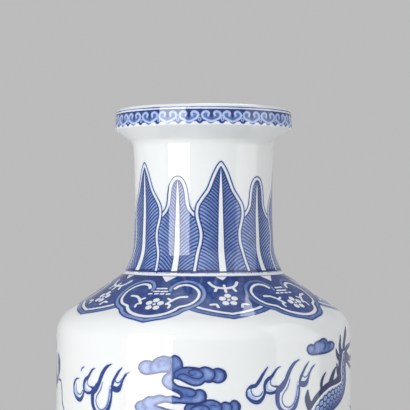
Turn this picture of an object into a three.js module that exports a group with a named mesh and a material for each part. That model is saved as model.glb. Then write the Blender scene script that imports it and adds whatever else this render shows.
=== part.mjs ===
// A tall Chinese rouleau vase: a straight body on a low foot ring, a flat sloping shoulder, a waisted
// neck and a dished mouth with an upright lip. It is thrown in sections on the wheel, which are turned
// true and joined end to end with slip. Millimetres, +Z up, origin at the centre of the standing foot.

import * as THREE from "three";

// Facets round every turned piece, the most degrees that one chord of a rounded corner turns, the share of
// the shorter side that a rounded corner may take up, and how close two points of a chain may lie
const facets = 48;
const chordDegrees = 12;
const cornerShare = 0.48;
const leastStep = 0.01;

// Foot ring, turned to a flat resting face with a bevel on both edges
const footHeight = 8;
const footOuterRadius = 71.5;
const footWidth = 8;
const footBevel = 1.6;

// Joints: the layer of slip between two sections, and the bead that squeezes out and is wiped down inside
const slipThickness = 0.8;
const beadProud = 1.4;
const beadHeight = 5;
const clearance = 0.3;

// Floor: a slab that carries the body's wall on its rim and the foot ring under it
const floorThickness = 9;
const heelLedge = 1;
const heelRise = 5.5;
const innerHeelRound = 16;

// Body wall, from the heel over the widest girth to the shoulder. A rise is measured from the corner below,
// and a taper is how much narrower than the girth a corner is.
const girthRadius = 98.1;
const heelTaper = 2.9;
const heelRound = 24;
const girthRise = 248.5;
const girthRound = 3000;
const shoulderTaper = 0.3;
const shoulderRise = 59.9;
const shoulderRound = 21;
const bodyWall = 6.2;

// Shoulder slope, up to the crease where the neck starts
const slopeRise = 29.9;
const creaseRound = 1.2;
const shoulderWall = 6;

// Neck: a flare at its foot, a waist, and a fillet under the mouth. A spread is how much wider than the
// waist a corner is.
const waistRadius = 45.4;
const creaseSpread = 7.6;
const flareSpread = 1.6;
const flareRise = 12.4;
const flareRound = 42;
const waistRise = 41.8;
const waistRound = 420;
const neckTopSpread = 1.8;
const neckTopRise = 31.4;
const neckTopRound = 6;
const neckWall = 5;

// Mouth: a sloping dish that carries an upright lip, which leans in a little
const dishReach = 12.2;
const dishRise = 9.2;
const dishWall = 5.2;
const dishRound = 5;
const lipFootRound = 1.4;
const lipTaper = 0.9;
const lipRise = 13.4;
const lipWall = 4.6;

// Height of the joint between the two body sections over the heel, and how far other joints lie from a corner
const bodyJointRise = 152.5;
const shoulderJointDrop = 16;
const mouthJointDrop = 1;

const glaze = { color: 0xeef1f4, roughness: 0.08, metalness: 0 };
const biscuit = { color: 0xdccfb9, roughness: 0.85, metalness: 0 };
const driedSlip = { color: 0xe6e0d4, roughness: 0.7, metalness: 0 };

const group = new THREE.Group();

// Heights of the floor's lower and upper face, above the foot ring and its slip
const floorBottom = footHeight + slipThickness;
const floorTop = floorBottom + floorThickness;

// Heights of the outside's corners, each from the one below, and the radii that are set by their neighbours
const heelHeight = footHeight + heelRise;
const girthHeight = heelHeight + girthRise;
const shoulderHeight = girthHeight + shoulderRise;
const creaseHeight = shoulderHeight + slopeRise;
const flareHeight = creaseHeight + flareRise;
const waistHeight = flareHeight + waistRise;
const neckTopHeight = waistHeight + neckTopRise;
const lipFootHeight = neckTopHeight + dishRise;
const lipTopHeight = lipFootHeight + lipRise;
const neckTopRadius = waistRadius + neckTopSpread;
const lipFootRadius = neckTopRadius + dishReach;

// The outside of the clay from the foot ring to the lip, as corners in a half section. Each corner has its
// radius from the axis, its height, the radius it is rounded to, and the wall of the stretch above it.
const outsideCorners = [
  { r: footOuterRadius + heelLedge, z: footHeight, round: 0, wall: floorThickness },
  { r: girthRadius - heelTaper, z: heelHeight, round: heelRound, wall: bodyWall },
  { r: girthRadius, z: girthHeight, round: girthRound, wall: bodyWall },
  { r: girthRadius - shoulderTaper, z: shoulderHeight, round: shoulderRound, wall: shoulderWall },
  { r: waistRadius + creaseSpread, z: creaseHeight, round: creaseRound, wall: neckWall },
  { r: waistRadius + flareSpread, z: flareHeight, round: flareRound, wall: neckWall },
  { r: waistRadius, z: waistHeight, round: waistRound, wall: neckWall },
  { r: neckTopRadius, z: neckTopHeight, round: neckTopRound, wall: dishWall },
  { r: lipFootRadius, z: lipFootHeight, round: lipFootRound, wall: lipWall },
  { r: lipFootRadius - lipTaper, z: lipTopHeight, round: 0, wall: lipWall },
];

// The line between two corners, moved into the clay by the wall's thickness
function insideLine(from, to) {
  const along = new THREE.Vector2(to.r - from.r, to.z - from.z).normalize();
  const inward = new THREE.Vector2(-along.y, along.x);
  const start = new THREE.Vector2(from.r, from.z).addScaledVector(inward, from.wall);
  return { start, along };
}

function crossing(a, b) {
  const between = b.start.clone().sub(a.start);
  const share = between.cross(b.along) / a.along.cross(b.along);
  return a.start.clone().addScaledVector(a.along, share);
}

// Inside corners follow the outside at the wall's thickness. A corner that bulges out is rounded less
// inside than outside, and one that bends in is rounded more.
function insideCorner(before, corner, after) {
  const lower = insideLine(before, corner);
  const upper = insideLine(corner, after);
  const point = crossing(lower, upper);
  const bulges = lower.along.cross(upper.along) > 0;
  const round = bulges ? corner.round - corner.wall : corner.round + corner.wall;
  return { r: point.x, z: point.y, round: Math.max(round, dishRound) };
}

function insideCorners() {
  const [, heelCorner, girthCorner] = outsideCorners;
  const wallFoot = insideLine(heelCorner, girthCorner);
  const rise = (floorTop - wallFoot.start.y) / wallFoot.along.y;
  const heel = { r: wallFoot.start.x + wallFoot.along.x * rise, z: floorTop, round: innerHeelRound };
  const followed = outsideCorners
    .slice(2, -1)
    .map((corner, i) => insideCorner(outsideCorners[i + 1], corner, outsideCorners[i + 3]));
  const lip = outsideCorners.at(-1);
  return [{ r: 0, z: floorTop, round: 0 }, heel, ...followed, { r: lip.r - lip.wall, z: lip.z, round: 0 }];
}

// A run of corners as a chain of points, with each corner replaced by an arc of its own radius
function rounded(corners) {
  const points = [new THREE.Vector2(corners[0].r, corners[0].z)];
  for (let i = 1; i < corners.length - 1; i++) {
    const corner = new THREE.Vector2(corners[i].r, corners[i].z);
    const toBefore = new THREE.Vector2(corners[i - 1].r, corners[i - 1].z).sub(corner);
    const toAfter = new THREE.Vector2(corners[i + 1].r, corners[i + 1].z).sub(corner);
    const room = Math.min(toBefore.length(), toAfter.length()) * cornerShare;
    const turn = Math.PI - toBefore.angleTo(toAfter);
    const reach = Math.min(corners[i].round * Math.tan(turn / 2), room);
    const radius = reach / Math.tan(turn / 2);
    const start = corner.clone().addScaledVector(toBefore.normalize(), reach);
    const end = corner.clone().addScaledVector(toAfter.normalize(), reach);
    const middle = toBefore.clone().add(toAfter).normalize();
    const centre = corner.clone().addScaledVector(middle, radius / Math.cos(turn / 2));
    const chords = Math.max(1, Math.ceil(THREE.MathUtils.radToDeg(turn) / chordDegrees));
    const sweep = Math.sign(start.clone().sub(centre).cross(end.clone().sub(centre))) * turn;
    for (let k = 0; k <= chords; k++) {
      points.push(start.clone().rotateAround(centre, (sweep * k) / chords));
    }
  }
  points.push(new THREE.Vector2(corners.at(-1).r, corners.at(-1).z));
  return points;
}

const outside = rounded(outsideCorners);
const inside = rounded(insideCorners());

// Where a chain crosses a height
function pointAt(chain, z) {
  const i = chain.findIndex((p, k) => k > 0 && chain[k - 1].y <= z && p.y >= z);
  const low = chain[i - 1];
  const high = chain[i];
  const share = high.y === low.y ? 1 : (z - low.y) / (high.y - low.y);
  return new THREE.Vector2(low.x + (high.x - low.x) * share, z);
}

// The stretch of a chain between two heights
function stretch(chain, low, high) {
  const within = chain.filter((p) => p.y > low + leastStep && p.y < high - leastStep);
  return [pointAt(chain, low), ...within, pointAt(chain, high)];
}

function turned(name, finish, profile) {
  const loop = [...profile, profile[0].clone()];
  const geometry = new THREE.LatheGeometry(loop, facets).rotateX(Math.PI / 2);
  const mesh = new THREE.Mesh(geometry, new THREE.MeshStandardMaterial(finish));
  mesh.name = name;
  group.add(mesh);
}

// A thrown section: the wall between two joints, cut flat at both ends
function section(name, low, high) {
  turned(name, glaze, [...stretch(outside, low, high), ...stretch(inside, low, high).reverse()]);
}

// A slip joint: a thin layer between two sections, flush outside, with a wiped bead on the inside
function slipJoint(name, low) {
  const high = low + slipThickness;
  const middle = (low + high) / 2;
  const face = (z) => new THREE.Vector2(pointAt(inside, z).x - clearance, z);
  const crest = (z) => new THREE.Vector2(pointAt(inside, z).x - beadProud, z);
  turned(name, driedSlip, [
    pointAt(inside, low),
    pointAt(outside, low),
    pointAt(outside, high),
    pointAt(inside, high),
    face(high + clearance),
    face(middle + beadHeight / 2),
    crest(middle + beadHeight / 4),
    crest(middle - beadHeight / 4),
    face(middle - beadHeight / 2),
    face(low - clearance),
  ]);
}

// The slip over the floor and under it lies in corners too shallow for a bead
function flatSlipJoint(name, low, innerRadius) {
  const high = low + slipThickness;
  turned(name, driedSlip, [
    new THREE.Vector2(innerRadius, low),
    pointAt(outside, low),
    pointAt(outside, high),
    new THREE.Vector2(innerRadius, high),
  ]);
}

function footRing() {
  const inner = footOuterRadius - footWidth;
  turned("foot_ring", biscuit, [
    new THREE.Vector2(inner + footBevel, 0),
    new THREE.Vector2(footOuterRadius - footBevel, 0),
    new THREE.Vector2(footOuterRadius, footBevel),
    new THREE.Vector2(footOuterRadius + heelLedge, footHeight),
    new THREE.Vector2(inner, footHeight),
    new THREE.Vector2(inner, footBevel),
  ]);
}

function floorSlab() {
  const edge = stretch(outside, floorBottom, floorTop);
  const axisFoot = new THREE.Vector2(0, floorBottom);
  const axisTop = new THREE.Vector2(0, floorTop);
  turned("floor_slab", glaze, [axisFoot, ...edge, axisTop]);
}

// The lip is rounded over between the outside and the inside with half a circle
function mouth(name, low) {
  const lip = outsideCorners.at(-1);
  const radius = lip.wall / 2;
  const shoulderOfLip = lip.z - radius;
  const centre = new THREE.Vector2(lip.r - radius, shoulderOfLip);
  const chords = Math.ceil(180 / (2 * chordDegrees));
  const over = [];
  for (let k = 1; k < chords; k++) {
    const angle = (Math.PI * k) / chords;
    over.push(new THREE.Vector2(centre.x + radius * Math.cos(angle), centre.y + radius * Math.sin(angle)));
  }
  turned(name, glaze, [
    ...stretch(outside, low, shoulderOfLip),
    ...over,
    ...stretch(inside, low, shoulderOfLip).reverse(),
  ]);
}

// The joints, from the heel up: the height of the lower face of each layer of slip
const bodyJoint = heelHeight + bodyJointRise;
const shoulderJoint = shoulderHeight - shoulderJointDrop;
const neckJoint = creaseHeight;
const mouthJoint = neckTopHeight - mouthJointDrop;

footRing();
flatSlipJoint("foot_slip_joint", footHeight, footOuterRadius - footWidth);
floorSlab();
flatSlipJoint("floor_slip_joint", floorTop, pointAt(inside, floorTop + slipThickness).x);
section("lower_body", floorTop + slipThickness, bodyJoint);
slipJoint("body_slip_joint", bodyJoint);
section("upper_body", bodyJoint + slipThickness, shoulderJoint);
slipJoint("shoulder_slip_joint", shoulderJoint);
section("shoulder", shoulderJoint + slipThickness, neckJoint);
slipJoint("neck_slip_joint", neckJoint);
section("neck", neckJoint + slipThickness, mouthJoint);
slipJoint("mouth_slip_joint", mouthJoint);
mouth("mouth", mouthJoint + slipThickness);

export default group;
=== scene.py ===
# A tall Chinese rouleau vase of blue and white porcelain, on a pale floor in soft studio light.
# Every piece is turned about the Z axis from the half section of the CAD node it replaces. The painting is
# laid out on the unrolled outside, kept on the pieces as attributes, and coloured by the glaze's nodes.

import math

import bmesh
import bpy
import numpy as np
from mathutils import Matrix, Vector


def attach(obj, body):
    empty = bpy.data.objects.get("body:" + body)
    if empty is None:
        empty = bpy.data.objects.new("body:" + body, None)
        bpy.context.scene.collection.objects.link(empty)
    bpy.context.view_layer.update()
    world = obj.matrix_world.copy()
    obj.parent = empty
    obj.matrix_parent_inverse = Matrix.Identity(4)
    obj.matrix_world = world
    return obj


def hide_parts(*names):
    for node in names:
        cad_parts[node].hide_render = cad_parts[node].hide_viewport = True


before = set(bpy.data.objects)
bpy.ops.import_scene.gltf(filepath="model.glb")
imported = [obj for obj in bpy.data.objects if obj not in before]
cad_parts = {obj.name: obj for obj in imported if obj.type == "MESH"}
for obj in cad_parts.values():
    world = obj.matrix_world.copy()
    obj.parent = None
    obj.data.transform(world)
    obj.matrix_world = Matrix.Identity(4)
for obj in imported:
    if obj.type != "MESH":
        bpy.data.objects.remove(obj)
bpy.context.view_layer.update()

MM = 0.001
DEGREE = math.radians(1)

# Two points nearer than this are one, and two heights nearer than this are the same
SAME_POINT = 1e-5
SAME_HEIGHT = 1e-6

# Columns round the painted outside, and round the inside, where outer columns share an inner one
COLUMNS = 1152
NECK_COLUMNS = 576
INSIDE_COLUMNS = 288

# Spacing of the rows along the half section: body, shoulder and neck, and inside
BODY_STEP = 0.55 * MM
NECK_STEP = 0.4 * MM
INSIDE_STEP = 1.6 * MM
NECK_BEGINS = 300 * MM

# A row this close to each joint keeps the shading smooth over it
BESIDE_JOINT = 0.04 * MM

# The outer edge of a layer of slip lies within this of its greatest radius
LAYER_EDGE = 4.5 * MM

# A bend sharper than this stays a corner, and a side this many times longer than its neighbour is straight
CORNER_DEGREES = 22
STRAIGHT_RATIO = 2.0

# How far the fired vase is out of round, and the thrower's ripples, as shares of the radius
OUT_OF_ROUND = 0.0011
OUT_OF_ROUND_TURN = 35 * DEGREE
RIPPLE = 0.0002
RIPPLE_PITCH = 13 * MM
INSIDE_RIPPLE = 0.0018
INSIDE_RIPPLE_PITCH = 11 * MM
RIPPLE_SWAY = 5.3
RIPPLES_END = 446 * MM
RIPPLES_FADE = 20 * MM

# Camera: distance from the vase's axis, height over the floor, aim, and lens on a 36 mm sensor
CAMERA_DISTANCE = 919 * MM
CAMERA_HEIGHT = 384 * MM
CAMERA_PITCH = 0.79 * DEGREE
CAMERA_YAW = 0.058 * DEGREE
CAMERA_SEES = (0.05, 20)
SENSOR_WIDTH = 36
LENS = 120.6

# Shading: bends sharper than this stay sharp, and the share of each piece's texture that the outside takes
SHARP_DEGREES = 30
OUTSIDE_OF_TEXTURE = 0.84
TEXTURE_GAP = 0.01
ON_EDGE = 1e-6
MOST_STRIPS = 8

# Cobalt under the glaze, from bare porcelain to a pooled dark line, and half the width of its soft edge
COBALT = [
    (0, (0.8, 0.812, 0.81)),
    (0.28, (0.31, 0.42, 0.72)),
    (0.52, (0.083, 0.155, 0.42)),
    (0.76, (0.014, 0.046, 0.225)),
    (1, (0.004, 0.013, 0.09)),
]
LINE_SOFTNESS = 0.16
GLAZE_WARM = (1, 0.995, 0.98)
GLAZE_COOL = (0.965, 0.985, 1)
GLAZE_IOR = 1.74
IRON_SPECK = (0.22, 0.12, 0.06)

# Bare clay of the foot, the height where the glaze ends, how it wavers, and the band burnt orange under it
CLAY_PALE = (0.66, 0.58, 0.47)
CLAY_DARK = (0.5, 0.42, 0.32)
CLAY_STAIN = (0.34, 0.29, 0.23)
CLAY_BURNT = (0.52, 0.22, 0.07)
GLAZE_ENDS = 3.4 * MM
GLAZE_END_WAVER = 1.6 * MM
BURNT_BAND = 1.6 * MM

# Softboxes standing round the vase: degrees from the front, distance, width, low and high edge, and watts
SOFTBOXES = {
    "key_softbox": (-40.5, 1.3, 0.82, 0.08, 1, 10.5),
    "fill_softbox": (75, 1.4, 1.05, 0.02, 2, 5.9),
}

# One more high behind: its place, what it faces, its width and height, and watts
BACK_SOFTBOX = ((0.2, 0.95, 1.75), (0.2, 0.2, 0.2), 0.6, 0.9, 5)

# The room around: its colour, its strength, how much brighter it is above and behind the camera, and from
# what cosine on
ROOM_COLOUR = (0.98, 0.985, 1, 1)
ROOM_DIM = 0.33
ROOM_BRIGHT = 0.75
ROOM_BRIGHT_SIDE = (0, -0.77, 0.64)
ROOM_BRIGHT_BEGINS = 0.45

# The floor bends up on all sides into a wall, which is wider than any view: metres, and degrees a step
STAGE_RADIUS = 3.2
STAGE_BEND = 1.0
STAGE_BEND_STEP = 6
STAGE_HEIGHT = 1.3
STAGE_COLUMNS = 96
FLOOR_PALE = (0.82, 0.82, 0.815)
FLOOR_PALER = (0.85, 0.85, 0.845)
FLOOR_ROUGH = 0.9

# Past these distances from the vase the paper shows as one even pale tone, with no light or shade on it
EVEN_BEGINS = 0.35
EVEN_FULL = 1.1
EVEN_TONE = (0.5, 0.5, 0.502, 1)

# Painting: heights and angles, read off the photograph's unrolled face, in mm and degrees from the front.
# Washes and tones are depths of cobalt, 0 to 1. FAR is a distance past any shape's reach. A wash's edge is
# this soft, a ring line wavers so far and so often, and a brushed line spreads by a little.
FAR = 9.0
SOFT_EDGE = 0.5
WAVER_OF_LINES = 0.06
WAVERS = 7
BRUSH_SPREAD = 0.06

# The lip's band, and half the outline of one of its heads in mm from the head's middle
LIP_HEADS = 27
LIP_TURN = 4.4
LIP_BAND_TOP = 455.4
LIP_BAND_FOOT = 448.4
LIP_HEAD = [(-2, 0.3), (-1.6, 1.9), (-3.4, 2.9), (-5.6, 1.8), (-5.6, -0.7), (-3.2, -2.4), (0, -3.5)]

# Half outlines of the two kinds of banana leaf: degrees from the midrib, and height. The midrib starts this
# far under the tip, and has these half widths so far down from there.
TALL_LEAF = [
    (22.3, 352), (21.6, 358), (20.3, 366), (18.2, 373), (18, 379), (19.6, 384), (21.2, 390), (20.3, 396),
    (16.6, 401), (11.8, 406.5), (9, 412), (6.2, 417.5), (2.9, 422.2), (0, 424.2),
]
SHORT_LEAF = [
    (23, 352), (23, 383), (19.5, 388.2), (14.2, 391.6), (10.8, 395.4), (9.6, 400), (8.9, 405), (7.2, 410),
    (4.2, 413.6), (0, 414.9),
]
TALL_MIDRIB_DROP = 4.5
SHORT_MIDRIB_DROP = 3.2
TALL_LEAVES = [-56.4, 13.8, 86.3, 157.4, 230.2]
SHORT_LEAVES = [-21.2, 48.6, 121.8, 193.4, 265.7]
TALL_LEAF_WASH = 0.5
SHORT_LEAF_WASH = 0.47
LEAF_MARGIN = 2.6
MIDRIB_DOWN = [0, 5, 20, 45, 70]
MIDRIB_WIDE = [0.1, 0.5, 1.2, 1.75, 2.35]

# Veins slant up by a reach that is spent over a bend, and waver: pitch and half width in mm
VEIN_PITCH = 2.35
VEIN_WIDE = 0.52
VEIN_REACH = 17
VEIN_BEND = 14
VEIN_WAVER = 0.12

# The line just over the crease between shoulder and neck
CREASE_LINE_HEIGHT = 353.6

# Half outlines of the collar's lappets: degrees from the middle, and mm down the slope from the crease
BACK_LAPPET = [
    (-21, 1.5), (-21, 33), (-17.5, 36.5), (-14, 39), (-9.5, 41.4), (-5.2, 43.3), (-2.4, 44.2), (0, 45.2),
]
FRONT_RIBBON = [
    (-5.4, 16.9), (-5.3, 13.4), (-7.4, 9.7), (-10.6, 7.5), (-14.2, 7), (-18.2, 8.3), (-21.6, 11.7),
    (-23.5, 16.5), (-23.6, 22), (-22, 28), (-18.6, 32.8), (-14.4, 36.2), (-14.4, 36.2), (-12.2, 39.8),
    (-8.6, 43), (-4.2, 44.8), (0, 46.6), (0, 46.6),
]
FRONT_WHITE = [
    (-7.6, 14.4), (-9.2, 12), (-12.2, 10.7), (-15.5, 11.1), (-18.5, 13.3), (-20.7, 17), (-21.1, 21.5),
    (-19.8, 26.5), (-16.9, 30.8), (-13.2, 33), (-12.2, 34), (-11, 36.3), (-8.3, 39.6), (-4.5, 42),
    (0, 43.2),
]
WHITE_AT = [6, 10, 14, 24]
WHITE_WIDE = [1.15, 1.05, 0.9, 0.85]
LAPPET_SIDE_DOWN = 31
FRONT_LAPPETS = [-23.4, 46.8, 119.2, 191.6, 263.4]
BACK_LAPPETS = [11.8, 83.4, 155.6, 227.2, 300.4]
RIBBON_WASHES = [0.37, 0.47, 0.4, 0.44, 0.49]

# The collar's ground, mm down from the crease, and bare triangles: half width, and how far down the tip is
COLLAR_GROUND = (1.3, 30)
FRONT_TRIANGLE = (5.4, 7.6)
BACK_TRIANGLE = (3.9, 5.8)

# Blossoms: mm down from the crease, petals and their reach, and radii of a petal and of the heart
FRONT_BLOSSOM_DOWN = 31
BACK_BLOSSOM_DOWN = 26
PETALS = 5
PETAL_REACH = 4.1
PETAL_RADIUS = 2.15
HEART_RADIUS = 1.1

# Rows of dashes in a front lappet: mm below the crease, how many, and their spacing and length in degrees
LAPPET_DASHES = [(14.8, 1, 0, 5.6), (17.8, 2, 4.2, 3.2), (20.4, 4, 3.3, 1.5)]

# Twigs beside the blossoms, each as points and the half width in mm
FRONT_TWIGS = [
    ([(-15.2, 23), (-11.8, 23.5), (-9.2, 25.8), (-7.4, 28.8), (-6.4, 30.6)], 0.9),
    ([(-6.2, 25), (-8.6, 27.1)], 0.8),
    ([(-6.4, 30.2), (-8.2, 31.4), (-8, 34.2)], 0.8),
]
BACK_TWIGS = [
    ([(-8.6, 8), (-7, 11), (-4.4, 13.2), (0, 14.2)], 1),
    ([(0, 11), (0, 14), (0, 18)], 0.9),
    ([(-4.4, 13.2), (-5.6, 17)], 0.9),
    ([(-8.6, 31), (-6.2, 30.6), (-5.4, 33.4)], 0.9),
]

# A flame: dark strokes, blue washes and thin inner lines, as (degrees, height, half width in mm)
FLAME_STROKES = [
    [(-56.4, 280.6, 0.44), (-56.1, 277.8, 0.53), (-54.2, 275, 0.84), (-52, 274.4, 1.06),
     (-50.4, 276.6, 0.79), (-49.5, 280, 0.62), (-49.6, 284, 0.7), (-48.6, 287.3, 0.88),
     (-46.8, 289.4, 0.75), (-45.6, 292, 0.57), (-44.4, 294.2, 0.44), (-43.2, 295, 0.18)],
    [(-49.6, 280.4, 0.44), (-47.4, 279.3, 0.62), (-45.4, 279.9, 0.79), (-43.9, 280.9, 1.5),
     (-42.4, 283.4, 1.5), (-41, 286.6, 1.1), (-40.1, 289.8, 1.1), (-39.1, 293, 1.01),
     (-37.5, 296.2, 0.79), (-36.2, 297.6, 0.48), (-34.9, 298.6, 0.18)],
    [(-44.2, 281, 1.32), (-44.5, 277, 1.19), (-44.3, 272.6, 1.06), (-43.2, 269.4, 0.88),
     (-41.4, 267.6, 0.79), (-39.2, 267.4, 0.88), (-37.2, 269.6, 1.01), (-35.9, 273.6, 0.79),
     (-35.1, 278.4, 0.57), (-34.9, 283.4, 0.53), (-34.3, 287.6, 0.75), (-33.1, 291, 0.66),
     (-31.8, 294.2, 0.57), (-30.3, 296.9, 0.18)],
    [(-45.8, 283.4, 0.31), (-44.4, 282.9, 0.62), (-43.2, 282.9, 0.53)],
    [(-34.9, 284.8, 0.7), (-33.6, 283.5, 1.41), (-32, 283.6, 1.32), (-30.9, 286, 0.75),
     (-30.1, 288.8, 0.44), (-29.4, 291.4, 0.53), (-28.4, 293.2, 0.48), (-27.1, 294.6, 0.22)],
]
FLAME_SPARK = [(-51.4, 292.2, 0.18), (-50.6, 294.2, 0.35), (-49.4, 295.2, 0.18)]
FLAME_WASHES = [
    [(-55.9, 281.6, 0.4), (-55.2, 278.6, 0.8), (-53.4, 276.4, 0.8)],
    [(-48.4, 286, 0.4), (-48.6, 282, 0.8), (-46.8, 280.6, 0.7)],
    [(-36, 285, 0.4), (-36.2, 279, 0.7), (-37.4, 272.6, 0.8), (-39.8, 269.2, 0.7)],
]
FLAME_THIN_LINES = [
    [(-54.6, 284, 0.25), (-54.7, 281, 0.33), (-53.9, 278.6, 0.36), (-52.4, 277.7, 0.36),
     (-51.2, 278.4, 0.36), (-50.3, 280.6, 0.25)],
    [(-46.7, 288.6, 0.25), (-47.4, 286.2, 0.33), (-46.9, 284, 0.33), (-45.6, 283.3, 0.4)],
    [(-39.2, 287.2, 0.25), (-40.2, 282.6, 0.36), (-42.2, 278, 0.36), (-42.6, 274.4, 0.36),
     (-41.6, 271.2, 0.36), (-39.8, 270.1, 0.36), (-38, 271.3, 0.36), (-36.8, 274.6, 0.36),
     (-36.1, 279, 0.33), (-35.8, 283, 0.25)],
    [(-33, 291.2, 0.25), (-33.4, 289, 0.36), (-32.5, 287.5, 0.36), (-31.2, 288.2, 0.36),
     (-30.4, 290.2, 0.25)],
]
FLAME_HOOK = [(-56.4, 280.6, 0.44), (-56.2, 283.6, 0.7), (-54.6, 286.9, 0.44), (-52.6, 287.6, 0.18)]
FLAME_TONGUE = [
    (-56.4, 280.6, 0.3), (-56, 282.4, 0.35), (-54.6, 283.8, 0.9), (-53, 284.4, 0.85), (-51.5, 287.4, 0.8),
    (-50.2, 291, 0.65), (-48.4, 295.2, 0.25),
]
FLAME_SHIFT = 71.6
FLAME_RISE = 2.6

# Clouds: closed outlines in degrees and mm, where a point given twice is a corner, and strokes inside them
CLOUD = [
    (-23.7, 297), (-23.2, 299.8), (-21.6, 301.5), (-19.6, 301.8), (-18.3, 301.3), (-18.3, 301.3),
    (-16.9, 303.3), (-14.4, 304.8), (-12.4, 304.4), (-11.6, 304.2), (-11.6, 304.2), (-10.3, 305.3),
    (-8.7, 304.3), (-7.6, 301.5), (-7.3, 298.2), (-7.3, 298.2), (-5.2, 298.5), (-2.9, 298.2),
    (-1.4, 297.8), (-1.4, 297.8), (0.4, 298.7), (2.2, 298), (3.1, 297), (3.1, 297), (5, 297.8),
    (7.2, 296.4), (8, 293.5), (7.3, 290.6), (5.2, 289), (3.2, 289.9), (3.2, 289.9), (1.8, 289.4),
    (0.5, 289.9), (0.5, 289.9), (-1, 288), (-3.2, 287.4), (-5.6, 288.7), (-8.4, 291), (-10.4, 291.9),
    (-10.4, 291.9), (-10.8, 290.2), (-10, 288.4), (-8.6, 287.1), (-6, 286.3), (-4.4, 285.8), (-2.9, 284.6),
    (-2.9, 284.6), (-1.2, 285.2), (0.4, 283.8), (1, 280.9), (0.5, 278.4), (0.5, 278.4), (-1.6, 276.9),
    (-5, 276.6), (-8.3, 277), (-11, 276.8), (-13.6, 277.3), (-15.8, 276.4), (-17.4, 275.2), (-17.4, 275.2),
    (-15.4, 274.3), (-12.4, 272.9), (-8.4, 271.4), (-4.6, 270), (-4.6, 270), (-8.6, 268), (-13, 267.6),
    (-17.4, 268.2), (-21.2, 269.6), (-24.2, 271.6), (-25, 274.2), (-23.9, 276.6), (-22, 277.9),
    (-22, 277.9), (-20.2, 280), (-18, 280.3), (-18, 280.3), (-15.6, 281.5), (-13.2, 280.6), (-13.2, 280.6),
    (-10.8, 281), (-8.2, 279.9), (-8.2, 279.9), (-8, 281.6), (-9.6, 283.4), (-11.8, 284.9), (-13.6, 286.6),
    (-14.7, 289.6), (-14.2, 292.6), (-12.8, 294.6), (-12, 295.4), (-12, 295.4), (-14.4, 295.2),
    (-16.4, 294.6), (-18.4, 293.9), (-20.6, 293.4), (-22.6, 294.4),
]
CLOUD_STROKES = [
    [(-18.3, 301.3, 0.3), (-19, 299, 0.4), (-18.9, 296.4, 0.35), (-18.2, 294, 0.2)],
    [(-15.9, 298.6, 0.2), (-16.2, 300.9, 0.3), (-14.7, 302.5, 0.35), (-13.1, 301.2, 0.3),
     (-13.9, 299.6, 0.15)],
    [(-11.6, 304.2, 0.4), (-11.7, 301.6, 0.6), (-11.3, 298.6, 0.6), (-12, 295.6, 0.4)],
    [(-7.3, 298.2, 0.4), (-8.7, 297, 0.55), (-10.3, 295, 0.6), (-10.4, 291.9, 0.5)],
    [(-9.5, 291.6, 0.3), (-8.6, 293.8, 0.5), (-6.7, 294.3, 0.5), (-5.1, 293, 0.45), (-3.4, 292, 0.55),
     (-1.4, 291.7, 0.65), (-0.2, 293.6, 0.65), (-0.9, 295.9, 0.6), (-2.8, 297, 0.55), (-4.8, 296.4, 0.55),
     (-5.2, 294.7, 0.5), (-4, 293.6, 0.4), (-2.8, 294.5, 0.2)],
    [(3.1, 297, 0.5), (3.9, 295.2, 0.75), (3.8, 292.6, 0.75), (2.8, 290.8, 0.55), (1.2, 289.9, 0.3)],
    [(5, 297.3, 0.2), (6.9, 295.9, 0.8), (7.5, 293.4, 0.8), (6.9, 291, 0.3)],
    [(-12.2, 285.2, 0.4), (-9.8, 284.9, 0.7), (-8, 283.2, 0.9), (-7.5, 281, 0.8), (-8.2, 279.9, 0.4)],
    [(-6.6, 285.9, 0.3), (-4.6, 285.7, 0.5), (-3, 284.4, 0.7), (-2.8, 282.3, 0.7), (-4.2, 280.8, 0.55),
     (-5.9, 281.3, 0.4), (-6, 282.9, 0.2)],
    [(0.2, 283, 0.3), (0.7, 280.8, 0.8), (0.3, 278.8, 0.4)],
    [(-22, 277.6, 0.4), (-22, 275.6, 0.4), (-21, 273.6, 0.2)],
]
LOWER_CLOUD = [
    (-6.8, 272.4), (-6.4, 275.2), (-5, 276.6), (-2.4, 276.4), (-0.4, 277.4), (1.4, 278.9), (3.6, 278.8),
    (5.4, 277.4), (6, 276.4), (6, 276.4), (7.4, 277.7), (9.2, 276.8), (9.2, 276.8), (10.4, 278.5),
    (11.9, 277.8), (13, 275.2), (12.5, 272.2), (10.8, 270.6), (9.4, 271.2), (9.4, 271.2), (7.6, 269.7),
    (5.6, 270.4), (5.6, 270.4), (3.4, 268.2), (0.4, 268), (-1.4, 269.4), (-1.4, 269.4), (-3.6, 268.2),
    (-5.8, 269.4),
]
LOWER_CLOUD_STROKES = [
    [(-4.6, 271.6, 0.3), (-4.2, 274, 0.5), (-2.2, 275.5, 0.6), (0.4, 275.6, 0.6), (1.9, 273.9, 0.6),
     (1.6, 271.7, 0.5), (-0.2, 270.9, 0.4), (-1.4, 272.2, 0.35), (-0.4, 273.3, 0.2)],
    [(2.4, 275.6, 0.3), (3.6, 275.8, 0.5), (4.6, 275.2, 0.3)],
    [(6, 276.4, 0.5), (6.4, 274.2, 0.7), (5.8, 271.6, 0.4)],
    [(9.2, 276.8, 0.5), (10, 274.6, 0.7), (9.6, 272.2, 0.4)],
    [(11.6, 277.4, 0.3), (12.5, 275.2, 0.8), (12.2, 272.8, 0.3)],
]
SMALL_CLOUD = [
    (-8.6, -1.6), (-8.3, 0.6), (-6.8, 1.8), (-5, 1.3), (-5, 1.3), (-4, 2.8), (-1.6, 3.8), (0.4, 4.7),
    (2.2, 4), (3.4, 2), (3.4, 2), (5, 2.4), (7, 1.7), (8.2, 0), (7.4, -2.2), (5.6, -3.4), (4, -4),
    (1.4, -4.5), (-2, -4.7), (-5.4, -4.7), (-7.6, -3.8),
]
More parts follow.
